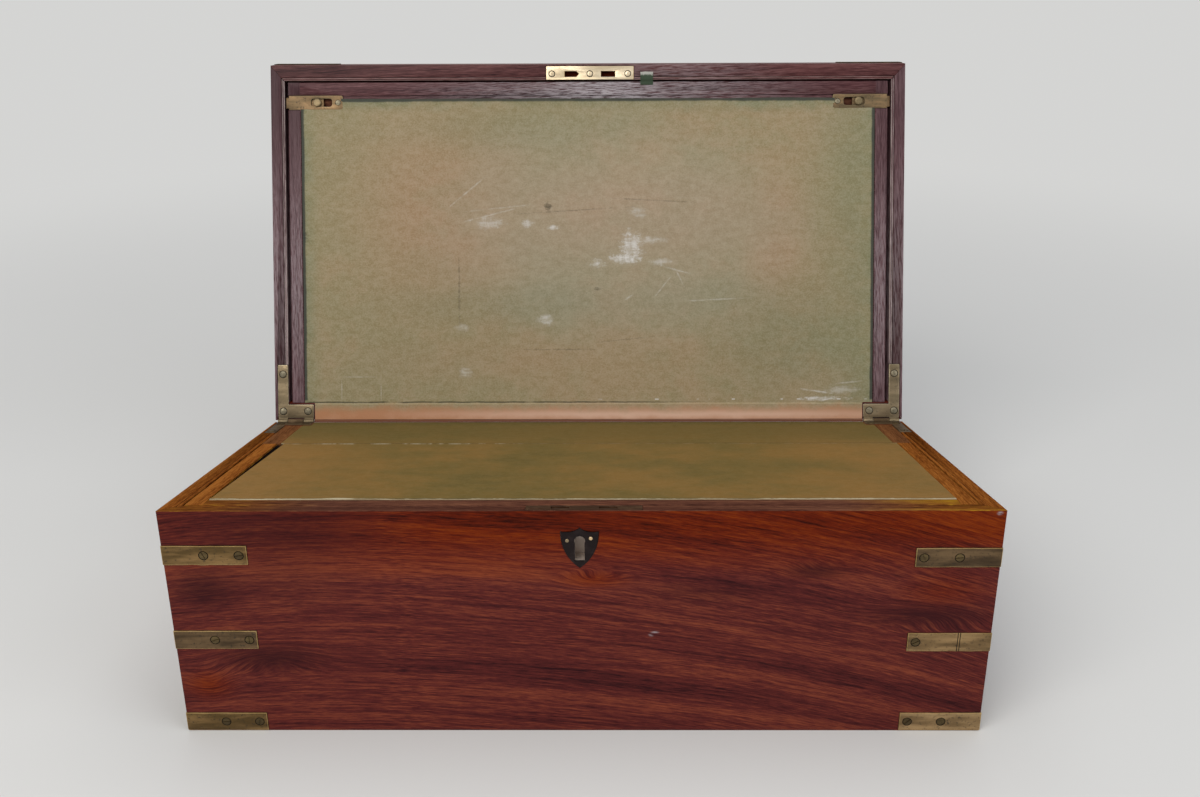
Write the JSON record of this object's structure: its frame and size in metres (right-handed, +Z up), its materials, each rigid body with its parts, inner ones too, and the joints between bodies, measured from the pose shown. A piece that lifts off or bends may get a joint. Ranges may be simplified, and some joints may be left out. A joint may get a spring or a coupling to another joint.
{
  "type": "ship's writing box",
  "caption": "Sloping brass-bound wooden writing box with a raised lid, leather-faced flaps over paper, pen and ink compartments, slide catches and a box lock.",
  "frame": {"origin": "centre of the underside of the base", "axes": "+X along the box to the right seen from the lock side, +Y towards the hinges, +Z up"},
  "size_m": [0.5092, 0.4049, 0.3622],
  "materials": {
    "case_wood": "polished dark red-brown wood with worn edges",
    "flap_wood": "waxed dark brown wood",
    "inner_wood": "plain brown wood",
    "green_leather": "worn olive green leather, browned and scuffed in the middle",
    "tan_leather": "worn tan leather",
    "aged_brass": "aged brass, dull olive brown with bright worn edges",
    "bright_brass": "pale rubbed brass",
    "lock_steel": "dull grey steel",
    "black_iron": "black, chipped at the lower edge",
    "green_ribbon": "faded green"
  },
  "bodies": {
    "base": {"base_front_board": "case_wood", "base_back_board": "case_wood", "base_left_board": "case_wood", "base_right_board": "case_wood", "base_bottom_board": "case_wood", "base_front_lining": "inner_wood", "base_left_lining": "inner_wood", "base_right_lining": "inner_wood", "ink_shelf": "inner_wood", "ink_partition": "inner_wood", "well_divider_left": "inner_wood", "well_divider_right": "inner_wood", "pen_tray": "inner_wood", "base_hinge_rail": "flap_wood", "base_rail_leather": "green_leather", "base_strap_front_left_low": "aged_brass", "base_strap_front_left_middle": "aged_brass", "base_strap_front_left_top": "aged_brass", "base_strap_front_right_low": "aged_brass", "base_strap_front_right_middle": "aged_brass", "base_strap_front_right_top": "aged_brass", "base_strap_back_left_low": "aged_brass", "base_strap_back_left_top": "aged_brass", "base_strap_back_right_low": "aged_brass", "base_strap_back_right_top": "aged_brass", "base_hinge_leaf_left": "aged_brass", "base_hinge_leaf_right": "aged_brass", "hinge_pin_left": "aged_brass", "hinge_pin_right": "aged_brass", "lock_selvedge": "lock_steel", "lock_case": "lock_steel", "escutcheon": "black_iron"},
    "base_flap": {"base_flap_board": "flap_wood", "base_flap_leather": "green_leather"},
    "lid": {"lid_front_board": "case_wood", "lid_back_board": "case_wood", "lid_left_board": "case_wood", "lid_right_board": "case_wood", "lid_top_board": "case_wood", "lid_front_lining": "inner_wood", "lid_left_lining": "inner_wood", "lid_right_lining": "inner_wood", "lid_rail_leather": "tan_leather", "lid_strap_front_left": "aged_brass", "lid_strap_front_right": "aged_brass", "lid_strap_back_left_low": "aged_brass", "lid_strap_back_left_top": "aged_brass", "lid_strap_back_right_low": "aged_brass", "lid_strap_back_right_top": "aged_brass", "lid_hinge_leaf_left": "aged_brass", "lid_hinge_leaf_right": "aged_brass", "strike_plate": "bright_brass"},
    "lid_flap": {"lid_flap_board": "flap_wood", "lid_flap_leather": "green_leather", "catch_plate_left": "aged_brass", "catch_plate_right": "aged_brass", "lid_flap_pull_tab": "green_ribbon"},
    "catch_bolt_left": {"catch_bolt_left": "aged_brass"},
    "catch_bolt_right": {"catch_bolt_right": "aged_brass"},
    "lock_bolt": {"lock_bolt": "lock_steel"}
  },
  "joints": [
    {"name": "lid_hinge", "type": "hinge", "parent": "base", "child": "lid", "pos_m": [0, 0.1395, 0.094], "axis": [-1, 0, 0], "range_deg": [-96.8, 83]},
    {"name": "base_flap_hinge", "type": "hinge", "parent": "base", "child": "base_flap", "pos_m": [0, 0.05566, 0.11318], "axis": [-1, 0, 0], "range_deg": [0, 100]},
    {"name": "lid_flap_hinge", "type": "hinge", "parent": "lid", "child": "lid_flap", "pos_m": [0, 0.14619, 0.10759], "axis": [1, 0, 0], "range_deg": [0, 95]},
    {"name": "catch_left_slide", "type": "slide", "parent": "lid_flap", "child": "catch_bolt_left", "axis": [-1, 0, 0], "range_m": [-0.01, 0.003]},
    {"name": "catch_right_slide", "type": "slide", "parent": "lid_flap", "child": "catch_bolt_right", "axis": [1, 0, 0], "range_m": [-0.01, 0.003]},
    {"name": "lock_bolt_slide", "type": "slide", "parent": "base", "child": "lock_bolt", "axis": [0, 0, 1], "range_m": [0, 0.006]}
  ]
}
